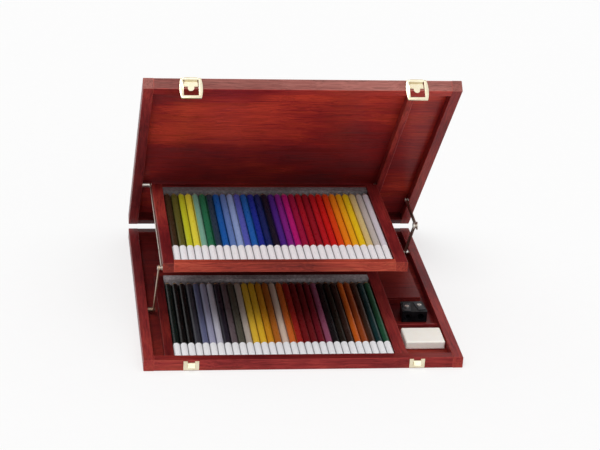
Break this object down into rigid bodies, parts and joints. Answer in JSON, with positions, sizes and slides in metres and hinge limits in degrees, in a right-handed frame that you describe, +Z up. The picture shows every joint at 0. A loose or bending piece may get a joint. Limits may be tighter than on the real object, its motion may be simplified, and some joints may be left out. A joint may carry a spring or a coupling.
{
  "type": "two-tier pencil case",
  "caption": "Shallow hinged wooden case for coloured pencils, with a pencil tray that lifts level as the lid opens, a folding lid stay, accessory bay and loop latches.",
  "frame": {"origin": "middle of the base's outline, on the face it rests on", "axes": "+X to the user's right along the hinge line, +Y to the back where the hinges are, +Z up; stored with the lid open 50 degrees and the tray lifted"},
  "size_m": [0.324, 0.3279, 0.2663],
  "materials": {
    "case_wood": "stained and clear varnished, glossy",
    "panel_wood": "stained veneered sheet, satin to glossy",
    "foam": "fine open foam, matt",
    "brass": "polished and lacquered",
    "steel": "flat strip and turned pins, bright",
    "pencil_coat": "wooden barrels with glossy paint, one colour each, white dipped ends, bare wood cones",
    "pencil_core": "waxy coloured core",
    "eraser": "matt, slightly chalky",
    "sharpener_black": "moulded, low sheen",
    "blade_steel": "ground steel"
  },
  "bodies": {
    "base": {"base_left_rail": "case_wood", "base_right_rail": "case_wood", "base_front_rail": "case_wood", "base_rear_rail": "case_wood", "base_bottom_panel": "panel_wood", "left_divider": "case_wood", "pencil_partition": "case_wood", "pencil_stop_rail": "case_wood", "lower_foam": "foam", "rear_deck": "case_wood", "rear_deck_bearers": "case_wood", "accessory_divider": "case_wood", "eraser": "eraser", "sharpener_body": "sharpener_black", "sharpener_blades": "blade_steel", "sharpener_screws": "steel", "lower_pencils": "pencil_coat", "lower_pencil_cores": "pencil_core", "base_hinge_leaves": "brass", "base_hinge_screws": "brass", "hinge_pins": "steel", "strike_plates": "brass", "strike_plate_nails": "brass", "link_base_post": "steel", "stay_base_post": "steel"},
    "lid": {"lid_left_rail": "case_wood", "lid_right_rail": "case_wood", "lid_front_rail": "case_wood", "lid_rear_rail": "case_wood", "lid_panel": "panel_wood", "lid_batten": "case_wood", "lid_hinge_leaves": "brass", "lid_hinge_screws": "brass", "latch_brackets": "brass", "latch_bracket_nails": "brass", "tray_pivot_posts": "steel", "stay_lid_post": "steel"},
    "tray": {"tray_left_rail": "case_wood", "tray_right_rail": "case_wood", "tray_front_rail": "case_wood", "tray_rear_rail": "case_wood", "tray_floor": "panel_wood", "tray_foam": "foam", "upper_pencils": "pencil_coat", "upper_pencil_cores": "pencil_core", "tray_left_arm": "steel", "tray_right_arm": "steel", "tray_arm_rivets": "steel", "tray_front_pin": "steel"},
    "front_link": {"front_link": "steel"},
    "stay_lower": {"stay_lower_arm": "steel", "stay_elbow_rivet": "steel"},
    "stay_upper": {"stay_upper_arm": "steel"},
    "left_loop": {"left_latch_loop": "brass"},
    "right_loop": {"right_latch_loop": "brass"}
  },
  "joints": [
    {"name": "lid_hinge", "type": "hinge", "parent": "base", "child": "lid", "pos_m": [0, 0.1625, 0.012], "axis": [-1, 0, 0], "range_deg": [-50, 40]},
    {"name": "tray_pivot", "type": "hinge", "parent": "lid", "child": "tray", "pos_m": [0, 0.10154, 0.09009], "axis": [-1, 0, 0], "range_deg": [-40, 50]},
    {"name": "front_link_pivot", "type": "hinge", "parent": "base", "child": "front_link", "pos_m": [-0.1453, -0.039, 0.0085], "axis": [-1, 0, 0], "range_deg": [-50, 40]},
    {"name": "stay_lower_pivot", "type": "hinge", "parent": "base", "child": "stay_lower", "pos_m": [0.1476, 0.1, 0.008], "axis": [-1, 0, 0], "range_deg": [-50, 40]},
    {"name": "stay_upper_pivot", "type": "hinge", "parent": "lid", "child": "stay_upper", "pos_m": [0.1492, 0.12501, 0.06213], "axis": [-1, 0, 0], "range_deg": [-40, 50]},
    {"name": "left_loop_hinge", "type": "hinge", "parent": "lid", "child": "left_loop", "pos_m": [-0.1145, -0.03588, 0.26444], "axis": [-1, 0, 0], "range_deg": [0, 150]},
    {"name": "right_loop_hinge", "type": "hinge", "parent": "lid", "child": "right_loop", "pos_m": [0.1145, -0.03588, 0.26444], "axis": [-1, 0, 0], "range_deg": [0, 150]}
  ],
  "couplings": [
    {"joint": "tray_pivot", "follows": "lid_hinge", "ratio": -1},
    {"joint": "front_link_pivot", "follows": "lid_hinge", "ratio": 1},
    {"joint": "stay_lower_pivot", "follows": "lid_hinge", "ratio": 1},
    {"joint": "stay_upper_pivot", "follows": "lid_hinge", "ratio": -1}
  ]
}
